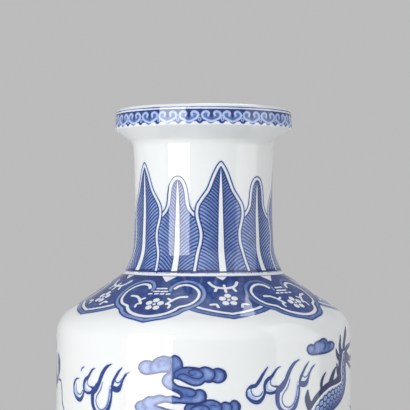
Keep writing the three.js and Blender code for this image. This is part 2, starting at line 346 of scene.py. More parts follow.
SMALL_CLOUD_STROKES = [
    [(-5, 1.3, 0.4), (-4.5, -0.6, 0.35), (-5, -2.8, 0.2)],
    [(0.6, 2.6, 0.3), (1.6, 1.4, 0.7), (1.7, -0.4, 0.6), (0.9, -1.9, 0.3)],
    [(3.4, 2, 0.4), (4.6, 0.4, 0.55), (4.3, -2, 0.3)],
]
FOAM = [
    (-9, -5), (-10.4, -1.6), (-9.4, 2.2), (-6.4, 3.8), (-5, 3.2), (-5, 3.2), (-4.2, 6.4), (-1.2, 8),
    (1.8, 6.6), (2.9, 4.4), (2.9, 4.4), (5.4, 5.6), (7.8, 3.6), (7.4, 0.6), (7.4, 0.6), (9.8, 0.4),
    (10.4, -2.6), (8.8, -5.4),
]
FOAM_STROKES = [
    [(-5, 3.2, 0.4), (-3.8, 0.8, 0.5), (-5, -1.6, 0.5), (-7.2, -1.6, 0.4), (-7.6, 0.4, 0.3),
     (-6.2, 0.8, 0.2)],
    [(2.9, 4.4, 0.4), (3.2, 1.2, 0.5), (1, -0.8, 0.5), (-1.4, 0.4, 0.45), (-1, 3.4, 0.4), (0.6, 3.6, 0.2)],
    [(7.4, 0.6, 0.4), (6.8, -2, 0.5), (4.8, -2.2, 0.4), (4.6, -0.4, 0.3), (5.6, 0, 0.2)],
]

# More clouds round the dragons: degrees, height, side, and True for a scroll cloud, with its own middle
CLOUD_MIDDLE = (-7.5, 295)
CLOUD_PLACES = [
    (93, 305, 1, False), (19, 247, 1, True), (63, 193, 1, True), (137, 197, -1, False),
    (102, 144, 1, False), (136, 146, 1, True), (27, 199, -1, True), (12, 168, 1, False),
    (38, 152, 1, True), (20, 128, -1, True), (52, 112, 1, False), (3, 98, 1, False), (150, 103, -1, True),
    (168, 128, 1, False), (36, 90, 1, False), (82, 86, -1, True), (88, 262, 1, False),
]

# A dragon's body, from the end of the tail to the neck: degrees, height and half width in mm. The skin
# changes from the tail's to the body's between two lengths, and has fins, scales and plates so far apart.
SPINE = [
    (66.6, 299, 4.6), (65.5, 292, 4.9), (65.8, 286, 4.9), (64.5, 280.5, 5.4), (60.2, 277, 6.9),
    (54.4, 274.5, 8), (49, 270, 8), (44.4, 262, 8), (42.4, 251, 8.3), (43.5, 239.5, 8.8), (49.5, 229, 9.4),
    (58, 221.5, 10), (69, 219, 10.8), (80, 223, 11.5), (90, 236, 12), (101, 243.5, 12.3), (112, 241, 12.5),
    (121.5, 230, 12.6), (126, 214, 12.6), (125, 196, 12.5), (118, 183, 12.4), (107, 174, 12.2),
    (95, 168, 12), (84, 160, 11.8), (77, 148, 11.6), (77, 135, 11.4), (84, 124, 11.2), (95, 118.5, 11),
    (108, 119, 11), (121, 124, 11), (134, 131, 11), (146, 141, 11), (155, 153, 11), (161, 167, 10.8),
    (165, 181, 10.5), (168, 194, 10.2), (169, 206, 9.8), (167, 218, 9),
]
TAIL_LENGTH = (52, 84)
FIN_STEP = 5.6
FIN_HEIGHT = 4.6
SCALE_PITCH = 4.3
SCALE_ROW = 3.0
PLATE_PITCH = 3.6

# Dark strokes of the tail's fins and tuft, and of a wisp of flame: degrees, height, half width in mm
TAIL_STROKES = [
    [(43.2, 270, 2.9), (41.4, 273, 2.1), (40.5, 277, 1.7), (40.7, 281.4, 0.6)],
    [(43.2, 271, 2.6), (44.8, 275.6, 1.7), (46.4, 278.2, 1.4), (48.2, 281, 1), (48.2, 285, 1),
     (49.2, 288.6, 0.8), (50.9, 291.4, 0.3)],
    [(45, 275, 1.3), (47.6, 278.6, 1.9), (50.6, 281, 2.4), (54, 282.3, 2.6), (57.5, 283, 2.6),
     (60.2, 285, 2.5), (61.8, 289.6, 2.2), (62, 294, 2), (62.2, 299, 2), (63.6, 302.2, 1.9)],
    [(53.6, 283.2, 1.9), (55, 287, 1.7), (56.4, 290.4, 1.3), (58.1, 293.4, 0.5)],
    [(62, 287, 1.5), (60.2, 290, 1.5), (59.1, 295.4, 0.6)],
    [(62.4, 298, 1.8), (60, 300.4, 1.5), (58.6, 304.6, 0.6)],
    [(63.4, 301, 1.9), (62.1, 306, 1.6), (62.7, 313, 0.6)],
    [(66, 302, 2.1), (66.6, 308, 1.8), (68.3, 313, 1.6), (71, 317.2, 0.6)],
    [(68, 302.4, 1.8), (71, 304.6, 1.4), (76, 305.6, 1), (80, 308.6, 0.4)],
    [(69.4, 300, 1.8), (73, 297.8, 1.4), (77, 296.4, 1.3), (81.4, 298.6, 0.4)],
    [(69.4, 297, 1.4), (73, 293.6, 1.1), (77, 290.8, 0.9), (80, 291.6, 0.3)],
    [(105, 283.4, 0.5), (106.9, 287.6, 1.5), (107.6, 292, 2.7), (107, 296, 2.4), (105.4, 300.4, 0.4)],
    [(104.4, 283, 0.7), (102.2, 288, 1.6), (101.4, 294, 1.7), (102.6, 300.6, 0.4)],
    [(104.2, 282.4, 0.9), (99.4, 285.2, 1.5), (96.4, 290, 1.4), (96.2, 296, 0.3)],
    [(104.4, 281.6, 0.9), (98.6, 280.6, 1.2), (94, 283, 1), (91.6, 288, 0.3)],
    [(106, 283, 0.3), (109, 283.6, 0.5), (110.8, 282, 0.5), (111.8, 276, 0.5), (112.2, 270, 0.6),
     (115, 264, 0.3)],
]

# The head, facing right, in mm from the end of the neck
HEAD = [
    (-6, 2), (-5, 7), (-1, 10.6), (4, 12.6), (8.6, 12), (12, 9.2), (16.5, 9.4), (21, 11.8), (26, 12.2),
    (29.6, 9.6), (30, 6.4), (27, 4.4), (22, 4.9), (17, 3.3), (12, 2.9), (8, 1.2), (5, -1.8), (0, -5.6),
    (-5, -4),
]
JAW = [
    (0, -5), (5, -1.2), (9, 0.1), (14, -1.5), (19, -2), (23.4, -1.1), (25.6, -0.2), (24.4, -4), (20, -6),
    (14, -6.4), (8, -6.8), (3, -8.2),
]
TONGUE = [(7, -0.4, 1.1), (13, 0.6, 1.2), (18, 1, 1), (22, 2.4, 0.8), (25.4, 1.8, 0.3)]
TEETH = [
    [(25.6, 5), (24.2, 1.6), (23.2, 5.2)],
    [(20, 4.8), (18.8, 2.2), (17.6, 3.8)],
    [(15, 3.3), (14, 1.6), (12.8, 3.2)],
    [(22.6, -1.6), (21.6, 1), (20.4, -1.8)],
    [(17, -1.8), (16.2, 0.2), (15, -1.6)],
]
EYE = [(8.2, 7.6), (8.6, 7.6)]
FACE_STROKES = [
    [(4, 9.4, 0.4), (7, 12.2, 1.1), (11.4, 11.2, 0.9), (13.8, 8.6, 0.3)],
    [(25, 8.2, 0.3), (27, 9.6, 0.7), (28.6, 8, 0.5), (27.2, 6.8, 0.3)],
    [(12.4, 6.6, 0.3), (17, 6.4, 0.5), (22, 7.8, 0.3)],
    [(-4, -1, 0.4), (0, 1.6, 0.7), (4, 3.6, 0.7), (5.6, 6.4, 0.4)],
    [(-2, 7, 0.4), (-6, 10.4, 1.3), (-11, 11.8, 1), (-14.6, 10.2, 0.3)],
    [(27.6, 5.4, 0.5), (33, 1.6, 0.6), (37, 4, 0.6), (38.4, 9.6, 0.5), (42.6, 13.6, 0.2)],
    [(27.6, 10.6, 0.5), (32.4, 15.6, 0.6), (30.2, 21, 0.5), (33.6, 26, 0.2)],
    [(1, 11.6, 1.7), (-4, 16.6, 1.6), (-10, 19.2, 1.4), (-16, 19.4, 1), (-21, 23, 0.3)],
    [(-8, 18.6, 1.3), (-10, 23.4, 1), (-14.6, 27, 0.3)],
    [(5.6, 12.6, 1.5), (2.6, 18.6, 1.4), (-2.4, 22.6, 1.1), (-5.6, 28, 0.3)],
    [(19, -5.4, 0.9), (19.6, -10.4, 0.8), (23.6, -14.6, 0.2)],
    [(14.4, -6, 1), (13.2, -11.6, 0.8), (15.8, -17.2, 0.2)],
    [(9.4, -6.4, 1), (6.8, -11.8, 0.8), (8.2, -18.6, 0.2)],
]
MANE = [
    [(-5, 5, 1.6), (-12, 7.6, 1.5), (-19, 13.2, 1.2), (-22.4, 20.6, 0.9), (-28, 26, 0.3)],
    [(-5, 2.4, 1.6), (-14, 2.4, 1.6), (-22, 7, 1.3), (-27, 14, 1), (-34, 17, 0.3)],
    [(-5, -0.6, 1.6), (-13, -3.2, 1.5), (-22, -0.6, 1.4), (-29, 5, 1), (-37, 6.4, 0.3)],
    [(-4, -3.6, 1.6), (-10, -9, 1.5), (-18, -9.6, 1.3), (-26, -5, 1), (-34, -5.6, 0.3)],
    [(-1, -6.4, 1.5), (-5, -13.4, 1.4), (-12, -17.2, 1.2), (-20, -15.4, 0.9), (-27, -18.4, 0.3)],
    [(3.4, -8, 1.3), (1.4, -14, 1.2), (-3, -20.4, 1), (-11, -23.6, 0.3)],
]

# A leg, reaching right, in mm from the hip, with scales so far apart past its knob. A toe is four reaches
# from the paw, each with a bend in degrees and a half width.
LEG = [
    (-3, -1, 6.8), (4, 4.6, 6.2), (11, 6.2, 5), (16.6, 2.6, 4.2), (21, -3, 3.5), (26, -5.6, 3.1),
    (31, -5.8, 3.2),
]
LEG_KNOB = 2.5
LEG_SCALE_PITCH = 3.4
LEG_SCALE_ROW = 2.6
PAW = (32.6, -5.8)
PAW_RADIUS = 4.2
TOES = [62, 24, -12, -50, 158]
TOE = [(2.5, 0, 2), (6.5, 8, 1.5), (9.5, 2, 1.3), (13.5, -16, 0.25)]
ELBOW_STROKES = [
    [(13, 8.4, 1.6), (9, 13.2, 1.3), (3, 15.4, 0.9), (-1.4, 20, 0.3)],
    [(16, 6.4, 1.5), (15.6, 12.6, 1.2), (11.4, 17.6, 0.9), (11.6, 23.4, 0.3)],
    [(18.4, 3.4, 1.3), (21.4, 8.4, 1), (20.4, 14, 0.7), (23.8, 18, 0.3)],
]

# Legs behind and before the body, and the head: degrees, height, turn in degrees, and side
LEGS_BEHIND = [(64, 211, -74, 1), (153, 165, 128, -1)]
LEGS_BEFORE = [(86, 247, 70, 1), (113, 107.5, -32, 1)]
DRAGON_HEAD = (166, 226, 168, -1)

# The pearl, and its flames and swirl in mm from its middle
PEARL = (139.5, 249)
PEARL_RADIUS = 5.6
PEARL_FLAMES = [35, 80, 125, 205, 250, 295, 340]
PEARL_FLAME = [(5.5, -1.6, 1.3), (10, -3, 1.3), (14.6, -0.4, 1), (16.4, 4.4, 0.3)]
PEARL_SWIRL = [(3.2, 0, 0.3), (1.6, 2.8, 0.6), (-1.8, 2.2, 0.7), (-2, -1.2, 0.6), (0.8, -1.4, 0.3)]

# Waves at the foot: heights of the rows from the back forwards, and radii of a scallop and its rings, where
# True asks for a wash inside the ring
WAVE_HEIGHTS = [50, 43, 36, 29, 22]
WAVE_RADIUS = 15
WAVES_ROUND = 20
WAVE_RINGS = [(13.8, False), (11.2, True), (8.6, False), (6, True), (3.2, False)]
WAVE_FOOT = 22.5
SPRAY_HEIGHT = 62
FOAM_HEIGHT = 64
SPRAY_PLACES = [12, 54, 101, 147, 196, 238, 281, 325]
SPRAY = [
    [(-8, 0, 2), (-9, 6, 1.8), (-6, 12, 1.3), (-1, 14, 0.3)],
    [(-4, 2, 1.8), (-3.4, 10, 1.5), (1, 16, 1), (6, 16.4, 0.3)],
    [(2, 2, 1.8), (4.4, 8, 1.4), (10, 10.6, 1), (13, 8.6, 0.3)],
    [(3, 18.6, 0.9), (3.4, 19, 0.9)],
    [(9, 15, 0.7), (9.3, 15.3, 0.7)],
    [(-7, 16.6, 0.7), (-7.2, 17, 0.7)],
]
HEEL_LINES = [(21.6, 0.6), (17.2, 0.3)]


# Shape of the vase, from the CAD

def half_section(name):
    """Corners (radius, height) of a turned node's half section, from the foot of its outside up and round.

    A layer of slip hangs lower inside, in its bead, than at its outer edge, where it starts.
    """
    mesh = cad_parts[name].data
    points = [(round(math.hypot(v.co.x, v.co.y), 6), round(v.co.z, 6)) for v in mesh.vertices]
    front = [abs(v.co.x) < SAME_POINT and v.co.y < SAME_POINT for v in mesh.vertices]
    beside = {}
    for edge in mesh.edges:
        a, b = edge.vertices
        if front[a] and front[b] and points[a] != points[b]:
            beside.setdefault(points[a], set()).add(points[b])
            beside.setdefault(points[b], set()).add(points[a])
    reach = max(p[0] for p in beside) - LAYER_EDGE if name.endswith("slip_joint") else 0
    foot = min(p[1] for p in beside if p[0] > reach)
    start = max(p for p in beside if p[1] == foot)
    walk = [start, max(beside[start], key=lambda p: p[1])]
    while ahead := [p for p in beside[walk[-1]] if p not in walk]:
        walk.append(ahead[0])
    return np.array(walk)


def directions(points):
    """Direction of the curve on both sides of each point: the same one, apart from corners."""
    sides = np.diff(points, axis=0)
    lengths = np.hypot(*sides.T)
    headings = np.unwrap(np.arctan2(sides[:, 1], sides[:, 0]))
    arriving = np.empty(len(points))
    leaving = np.empty(len(points))
    for i in range(1, len(points) - 1):
        turn = headings[i] - headings[i - 1]
        before, after = lengths[i - 1], lengths[i]
        if abs(turn) > CORNER_DEGREES * DEGREE:
            arriving[i], leaving[i] = headings[i - 1], headings[i]
            continue
        if before > STRAIGHT_RATIO * after:
            heading = headings[i - 1]
        elif after > STRAIGHT_RATIO * before:
            heading = headings[i]
        else:
            heading = headings[i - 1] + turn * before / (before + after)
        arriving[i] = leaving[i] = heading
    leaving[0] = 2 * headings[0] - arriving[1]
    arriving[-1] = 2 * headings[-1] - leaving[-2]
    return arriving, leaving


def smooth_line(points, low_step, high_step, joints=()):
    """A curve through the points in steps of about a length, which changes where the neck begins.

    Next to a joint's height it has one more point close by.
    """
    arriving, leaving = directions(points)
    line = [points[0]]
    for i in range(len(points) - 1):
        a, b = points[i], points[i + 1]
        length = math.dist(a, b)
        start = np.array([math.cos(leaving[i]), math.sin(leaving[i])]) * length
        end = np.array([math.cos(arriving[i + 1]), math.sin(arriving[i + 1])]) * length
        count = max(1, math.ceil(length / (low_step if a[1] < NECK_BEGINS else high_step)))
        places = list(np.arange(1, count + 1) / count)
        if length > 4 * BESIDE_JOINT:
            close = BESIDE_JOINT / length
            for height, place in ((a[1], close), (b[1], 1 - close)):
                if any(abs(height - joint) < SAME_HEIGHT for joint in joints):
                    places.append(place)
        for t in sorted(places):
            line.append(
                a * (2 * t**3 - 3 * t**2 + 1)
                + start * (t**3 - 2 * t**2 + t)
                + b * (3 * t**2 - 2 * t**3)
                + end * (t**3 - t**2)
            )
    return np.array(line)


def split_sides(section):
    """The outside of a half section, up to its top, and the rest of the way back to the start."""
    top = int(np.argmax(np.diff(section[:, 1]) < SAME_HEIGHT))
    return section[: top + 1], np.vstack([section[top:], section[:1]])


SECTIONS = {name: half_section(name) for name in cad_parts}
JOINTS = sorted({round(float(end), 6) for section in SECTIONS.values() for end in section[[0, 0], 1]})


def outside_of_the_vase():
    """The whole outside, from the foot's outer edge to the top of the lip, as one smooth line."""
    rising = sorted(SECTIONS.values(), key=lambda section: section[0, 1])
    points = np.vstack([split_sides(section)[0] for section in rising])
    keep = [0]
    for i in range(1, len(points)):
        if math.dist(points[i], points[keep[-1]]) > SAME_POINT:
            keep.append(i)
    return smooth_line(points[keep], BODY_STEP, NECK_STEP, JOINTS[1:])


def turned_grid(line, columns, ripple, pitch):
    """The points of a half section's line turned about Z, a little out of round and rippled."""
    turn = np.arange(columns) / columns * 2 * math.pi
    radius, height = line[:, 0, None], line[:, 1, None]
    sway = np.sin(height / (RIPPLE_SWAY * pitch) * 2 * math.pi)
    wave = np.sin(height / pitch * 2 * math.pi + turn + sway)
    wave = wave * np.clip((RIPPLES_END - height) / RIPPLES_FADE, 0, 1)
    radius = radius * (1 + OUT_OF_ROUND * np.cos(2 * (turn - OUT_OF_ROUND_TURN)) + ripple * wave)
    return np.stack([radius * np.sin(turn), -radius * np.cos(turn), height + 0 * turn], axis=-1)


def climb_of(line):
    """How far up a line each of its points lies."""
    return np.concatenate([[0], np.cumsum(np.hypot(*np.diff(line, axis=0).T))])


OUTSIDE = outside_of_the_vase()
OUTSIDE_GRID = turned_grid(OUTSIDE, COLUMNS, RIPPLE, RIPPLE_PITCH)


# Painting: cobalt brushed on the unrolled outside, a row for each point of the half section and a column
# for each step round. WASH is the depth of the blue wash. INK and BARE are distances in mm to the edge of
# the nearest drawn line and of the nearest white left bare, below 0 inside. TONE is the lines' depth.

ARC = climb_of(OUTSIDE) / MM
RADIUS, HEIGHT = OUTSIDE.T / MM
CREASE = float(np.interp(SECTIONS["neck_slip_joint"][0, 1] / MM, HEIGHT, ARC))
WASH = np.zeros((len(ARC), COLUMNS))
INK = np.full(WASH.shape, FAR)
BARE = np.full(WASH.shape, FAR)
TONE = np.full(WASH.shape, 0.9)


class Patch:
    """The painting near some points: its angles, distances up the outside, and mm in a degree."""

    def __init__(self, points, margin):
        low, high = np.min(points, axis=0), np.max(points, axis=0)
        rows = np.flatnonzero((ARC > low[1] - margin) & (ARC < high[1] + margin))
        reach = margin / (RADIUS[rows].min() * DEGREE)
        step = 360 / COLUMNS
        columns = np.arange(math.floor((low[0] - reach) / step), math.ceil((high[0] + reach) / step) + 1)
        columns = columns[:COLUMNS]
        self.spot = np.ix_(rows, columns % COLUMNS)
        self.angle = columns[None, :] * step
        self.arc = ARC[rows, None]
        self.height = HEIGHT[rows, None]
        self.per_degree = RADIUS[rows, None] * DEGREE
        self.shape = (len(rows), len(columns))

    def beside(self, a, b):
        """The nearest place from a to b: its share of the way, how far off, the side, and the length."""
        ax, ay = (self.angle - a[0]) * self.per_degree, self.arc - a[1]
        dx, dy = (b[0] - a[0]) * self.per_degree, b[1] - a[1]
        share = np.clip((ax * dx + ay * dy) / (dx * dx + dy * dy + 1e-9), 0, 1)
        return share, np.hypot(ax - share * dx, ay - share * dy), dx * ay - dy * ax, np.hypot(dx, dy)

    def line(self, points, widths):
        """Distance to the edge of a line through the points, with a half width for each point."""
        nearest = np.full(self.shape, FAR)
        widths = np.broadcast_to(widths, len(points))
        for a, b, wide_a, wide_b in zip(points, points[1:], widths, widths[1:]):
            share, gap = self.beside(a, b)[:2]
            np.minimum(nearest, gap - wide_a - share * (wide_b - wide_a), out=nearest)
        return nearest

    def area(self, points):
        """Distance to a closed outline, below 0 inside it."""
        closed = np.vstack([points, points[:1]])
        edge = self.line(closed, 0)
        inside = np.zeros(self.shape, dtype=bool)
        for a, b in zip(closed, closed[1:]):
            if a[1] != b[1]:
                crosses = (a[1] > self.arc) != (b[1] > self.arc)
                meets = a[0] + (self.arc - a[1]) / (b[1] - a[1]) * (b[0] - a[0])
                inside ^= crosses & (self.angle < meets)
        return np.where(inside, -edge, edge)

    def cover(self, edge, wash):
        """Lays a wash over a shape and hides what was painted there before."""
        share = np.clip(0.5 - edge / SOFT_EDGE, 0, 1)
        WASH[self.spot] = WASH[self.spot] * (1 - share) + wash * share
        INK[self.spot] = np.maximum(INK[self.spot], -edge)
        BARE[self.spot] = np.maximum(BARE[self.spot], -edge)

    def shade(self, edge, wash, soft):
        """Adds a wash with a soft edge, and keeps the lines over it."""
        share = np.clip(0.5 - edge / soft, 0, 1)
        WASH[self.spot] += wash * share * share * (3 - 2 * share)

    def draw(self, edge, tone):
        """Draws a line, whose edge is given."""
        TONE[self.spot] = np.where(edge < np.minimum(INK[self.spot], 1), tone, TONE[self.spot])
        INK[self.spot] = np.minimum(INK[self.spot], edge)

    def trace(self, middle, half_width, tone):
        """Draws a line along a middle."""
        self.draw(np.abs(middle) - half_width, tone)

    def leave(self, edge):
        """Leaves a shape bare."""
        BARE[self.spot] = np.minimum(BARE[self.spot], edge)
        INK[self.spot] = np.maximum(INK[self.spot], -edge)


def outlined(points, margin):
    """The patch round a closed outline, and the distances to it."""
    patch = Patch(points, margin)
    return patch, patch.area(points)


def dot(middle, radius, margin):
    """The patch round a dot, and the distances to its edge."""
    patch = Patch([middle], margin)
    return patch, patch.line([middle, middle], radius)


def girdle(low, high):
    """The patch once round the vase, and the distances to a band between two places up the outside."""
    patch = Patch([(-180, low), (180, high)], FAR)
    return patch, np.abs(patch.arc - (low + high) / 2) - (high - low) / 2 + 0 * patch.angle


def fraction(value):
    return value - np.floor(value)


def rim(edge, fade):
    """1 at a shape's edge, fading inwards."""
    return np.exp(np.clip(edge, -FAR, 0) / fade)


def curve(points, closed=False, per_side=5):
    """A smooth curve through the points, all columns alike. A point given twice makes a corner."""
    points = np.asarray(points, float)
    if closed:
        ring = np.vstack([points[-1:], points, points[:2]])
    else:
        ring = np.vstack([2 * points[0] - points[1], points, 2 * points[-1] - points[-2]])
    t = (np.arange(per_side) / per_side)[:, None]
    out = []
    for p, q, r, s in zip(ring, ring[1:], ring[2:], ring[3:]):
        if not np.allclose(q, r):
            bend = (2 * p - 5 * q + 4 * r - s) * t**2 + (3 * q - p - 3 * r + s) * t**3
            out.append(0.5 * (2 * q + (r - p) * t + bend))
    line = np.vstack(out)
    return line if closed else np.vstack([line, points[-1:]])


def mirrored(points):
    """The points followed by their mirror images in reverse order, without repeating one on the axis."""
    points = np.asarray(points, float)
    back = points[::-1] * [-1, 1]
    return np.vstack([points, back[1:] if points[-1][0] == 0 else back])


def shifted(points, turn, rise=0):
    return np.array(points, float) + ([turn, rise] + [0] * (len(points[0]) - 2))


def at_height(points):
    """Points given as (degrees, height in mm, ...) with the height turned into distance up the outside."""
    out = np.array(points, float)
    out[:, 1] = np.interp(out[:, 1], HEIGHT, ARC)
    return out


def below_crease(points):
    """Points given as (degrees, mm down the slope from the crease)."""
    return np.array(points, float) * [1, -1] + [0, CREASE]


def from_centre(points, angle, arc):
    """Points given in mm right of and above a place on the outside."""
    out = np.array(points, float)
    out[:, 0] = angle + out[:, 0] / (np.interp(arc, ARC, RADIUS) * DEGREE)
    out[:, 1] += arc
    return out


def placed(points, angle, height, turn, side):
    """Points given in mm from a place on the body, turned by some degrees; side -1 mirrors them first."""
    out = np.array(points, float)
    c, s = math.cos(turn * DEGREE), math.sin(turn * DEGREE)
    x, y = out[:, 0].copy(), out[:, 1] * side
    out[:, 0], out[:, 1] = x * c - y * s, x * s + y * c
    return from_centre(out, angle, np.interp(height, HEIGHT, ARC))


def stroke(points, tone):
    """A drawn stroke: points are (degrees, distance up the outside, half width)."""
    patch = Patch(points, 3)
    patch.draw(patch.line(points, points[:, 2]), tone)


def strokes(lines, place, tone):
    """Drawn strokes, smoothed, and given in mm from a place on the body."""
    for points in lines:
        stroke(placed(curve(points), *place), tone)


def brushed(points, tone, broader=1):
    """A broader drawn stroke: points are (degrees, height, half width)."""
    line = at_height(curve(points))
    line[:, 2] = (line[:, 2] + BRUSH_SPREAD) * broader
    stroke(line, tone)


def ring_line(height, half_width, tone):
    """A slightly wavering line once round the vase."""
    patch, edge = girdle(*np.interp([height - half_width, height + half_width], HEIGHT, ARC))
    patch.draw(edge + WAVER_OF_LINES * np.sin((patch.angle * WAVERS + height) * DEGREE), tone)


# Lip, neck and collar

def paint_lip(random):
    """A dark band of ruyi heads with drops between them, under two lines."""
    pitch = 360 / LIP_HEADS
    patch, edge = girdle(*np.interp([LIP_BAND_FOOT, LIP_BAND_TOP], HEIGHT, ARC))
    patch.cover(edge, 0.86)
    ring_line(LIP_BAND_TOP + 0.4, 0.55, 0.95)
    ring_line(LIP_BAND_TOP + 2.2, 0.3, 0.75)
    for i in range(LIP_HEADS):
        middle = pitch * i + LIP_TURN + random.uniform(-0.5, 0.5)
        for angle, rise, radius in ((middle, 1.7, 3), (middle + pitch / 2, 0.7, 2)):
            patch, edge = dot(*at_height([(angle, LIP_BAND_FOOT + rise)]), radius, 6)
            patch.cover(edge, 0.88)
    for i in range(LIP_HEADS):
        middle = pitch * i + LIP_TURN + random.uniform(-0.5, 0.5)
        places = [(middle, LIP_BAND_FOOT + 3.4), (middle + pitch / 2, LIP_BAND_FOOT + 1.3)]
        place, between = at_height(places)
        head = from_centre(curve(mirrored(LIP_HEAD)), *place)
        patch, edge = outlined(head, 3)
        patch.cover(edge + 0.2, 0.55)
        patch.cover(patch.line(head, 0.76), 0.2)
        patch.draw(patch.line(from_centre([(0, -0.2), (0, -1.2)], *place), [0.75, 0.2]), 0.95)
        patch.draw(patch.line(from_centre([(0, 1.2), (0, 3.4)], *place), 0.3), 0.95)
        bead = from_centre([(0, 0.2), (0, -0.2)], *between)
        patch = Patch(bead, 3)
        patch.cover(patch.line(bead, 1.15), 0.22)
        patch.draw(patch.line(bead, 0.35), 0.95)
        patch.cover(patch.line(from_centre([(-1.1, 4.2), (0, 2.6), (1.1, 4.2)], *between), 0.4), 0.3)


def paint_leaf(middle, half_outline, midrib_drop, wash):
    """A banana leaf: an outline, a bare margin, a washed blade with slanting veins, and a bare midrib."""
    patch, edge = outlined(at_height(shifted(curve(mirrored(half_outline)), middle)), 5)
    patch.cover(edge, 0)
    patch.trace(edge + 0.35, 0.42, 0.86)
    out = np.abs(patch.angle - middle) * patch.per_degree
    blade = edge + LEAF_MARGIN
    fall = np.exp(-out / VEIN_BEND)
    phase = (patch.height - VEIN_REACH * (1 - fall)) / VEIN_PITCH
    phase = phase + VEIN_WAVER * np.sin(patch.height / 5.1 + out / 3.7)
    patch.cover(blade, wash * (1.06 - 0.018 * out) - 0.12 * np.cos(2 * math.pi * (phase - 0.12)))
    upright = VEIN_PITCH / np.hypot(1, VEIN_REACH / VEIN_BEND * fall)
    vein = np.abs(fraction(phase) - 0.5) * upright - VEIN_WIDE + 0.014 * out
    patch.draw(np.maximum(vein, blade + 0.1), 0.92)
    patch.trace(blade + 0.35, 0.42, 0.94)
    top = half_outline[-1][1] - midrib_drop
    midrib = out - np.interp(top - patch.height, MIDRIB_DOWN, MIDRIB_WIDE)
    midrib = np.maximum(np.where(patch.height < top, midrib, FAR), edge)
    patch.draw(np.maximum(midrib - 0.65, blade), 0.92)
    patch.leave(midrib)


def paint_neck():
    for middle in SHORT_LEAVES:
        paint_leaf(middle, SHORT_LEAF, SHORT_MIDRIB_DROP, SHORT_LEAF_WASH)
    for middle in TALL_LEAVES:
        paint_leaf(middle, TALL_LEAF, TALL_MIDRIB_DROP, TALL_LEAF_WASH)


def left_bare(points, widths):
    patch = Patch(points, 4)
    patch.leave(patch.line(points, widths))


def blossom(angle, down):
    """A bare blossom on the blue ground."""
    middle = below_crease([(angle, down)])
    for i in range(PETALS):
        spread = (90 + 360 / PETALS * i) * DEGREE
        petal = [(PETAL_REACH * math.cos(spread), PETAL_REACH * math.sin(spread))] * 2
        left_bare(from_centre(petal, *middle[0]), PETAL_RADIUS)
    left_bare(middle[[0, 0]], HEART_RADIUS)


def twigs(lines, middle):
    """Bare twigs on both sides of a lappet's middle."""
    for points, widths in lines:
        for side in (1, -1):
            left_bare(below_crease(shifted(curve(np.array(points) * [side, 1]), middle)), widths)


def paint_back_lappet(middle):
    patch, edge = outlined(below_crease(shifted(mirrored(BACK_LAPPET), middle)), 5)
    patch.cover(edge, 0.5)
    patch.trace(edge + 0.3, 0.45, 0.88)
    patch.cover(edge + 3, 0.74)
    patch.trace(edge + 3.1, 0.35, 0.9)
    patch.leave(np.maximum(np.abs(edge + 4.8) - 0.9, patch.arc - CREASE + LAPPET_SIDE_DOWN))
    blossom(middle + 0.2, BACK_BLOSSOM_DOWN)
    twigs(BACK_TWIGS, middle)


def paint_front_lappet(middle, wash, random):
    shape = below_crease(shifted(curve(mirrored(FRONT_RIBBON)), middle))
    patch, edge = outlined(shape, 5)
    patch.cover(edge - 2, 0.76)
    edge = patch.line(shape, 1.55)
    patch.cover(edge, wash)
    patch.trace(edge + 0.05, 0.5, 0.9)
    white = below_crease(shifted(curve(mirrored(FRONT_WHITE)), middle))
    left_bare(white, np.interp(np.abs(white[:, 0] - middle), WHITE_AT, WHITE_WIDE))
    for down, dashes, spread, length in LAPPET_DASHES:
        for i in range(dashes):
            at = middle + (i - (dashes - 1) / 2) * spread + random.uniform(-0.2, 0.2)
            left_bare(below_crease([(at - length / 2, down), (at + length / 2, down - 0.2)]), 0.7)
    blossom(middle + 0.6, FRONT_BLOSSOM_DOWN)
    twigs(FRONT_TWIGS, middle)


def paint_collar(random):
    """A collar of ten overlapping ruyi lappets under the crease."""
    top, foot = COLLAR_GROUND
    WASH[(CREASE - ARC > top) & (CREASE - ARC < foot)] = 0.75
    for middle in BACK_LAPPETS:
        paint_back_lappet(middle)
    for middle, wash in zip(FRONT_LAPPETS, RIBBON_WASHES):
        paint_front_lappet(middle, wash, random)
    patch, edge = girdle(CREASE - 4.8, CREASE - 1.4)
    patch.draw(edge, 0.86)
    for middles, (half, low) in ((FRONT_LAPPETS, FRONT_TRIANGLE), (BACK_LAPPETS, BACK_TRIANGLE)):
        for middle in middles:
            triangle = below_crease([(middle - half, 1.7), (middle + half, 1.7), (middle, low)])
            patch, edge = outlined(triangle, 3)
            patch.leave(edge)
    patch, edge = girdle(CREASE - 0.9, CREASE + 0.9)
    patch.leave(edge)
    ring_line(CREASE_LINE_HEIGHT, 0.5, 0.95)


# Body: flames, clouds, two dragons and breaking waves

def paint_flame(turn, rise, side_strokes):
    """A rising tongue of flame with hooked side tongues, in dark brushstrokes with thin lines inside."""
    for points in FLAME_STROKES + side_strokes:
        brushed(shifted(points, turn, rise), 0.8, 1.25)
    for points in FLAME_WASHES:
        line = at_height(curve(shifted(points, turn, rise)))
        patch = Patch(line, 4)
        patch.shade(patch.line(line, line[:, 2]), 0.2, 1.2)
    for points in FLAME_THIN_LINES:
        brushed(shifted(points, turn, rise), 0.62)


def paint_cloud(outline, lines, angle, height, side=1, wash=0.4):
    """A scroll cloud in blue wash, with a dark outline, and strokes that the wash darkens beside."""
    def laid(points):
        out = curve(points)
        out[:, 0] *= side
        return at_height(shifted(out, angle, height))

    patch, edge = outlined(laid(outline + outline[:1]), 3)
    patch.cover(edge, wash + 0.1 * rim(edge, 1.4))
    for points in lines:
        line = laid(points)
        gap = patch.line(line, line[:, 2] * 0.9)
        patch.shade(np.maximum(gap - 1.4, edge), 0.1, 3)
        patch.draw(np.maximum(gap, edge), 0.86)
    patch.trace(edge + 0.2, 0.6, 0.92)


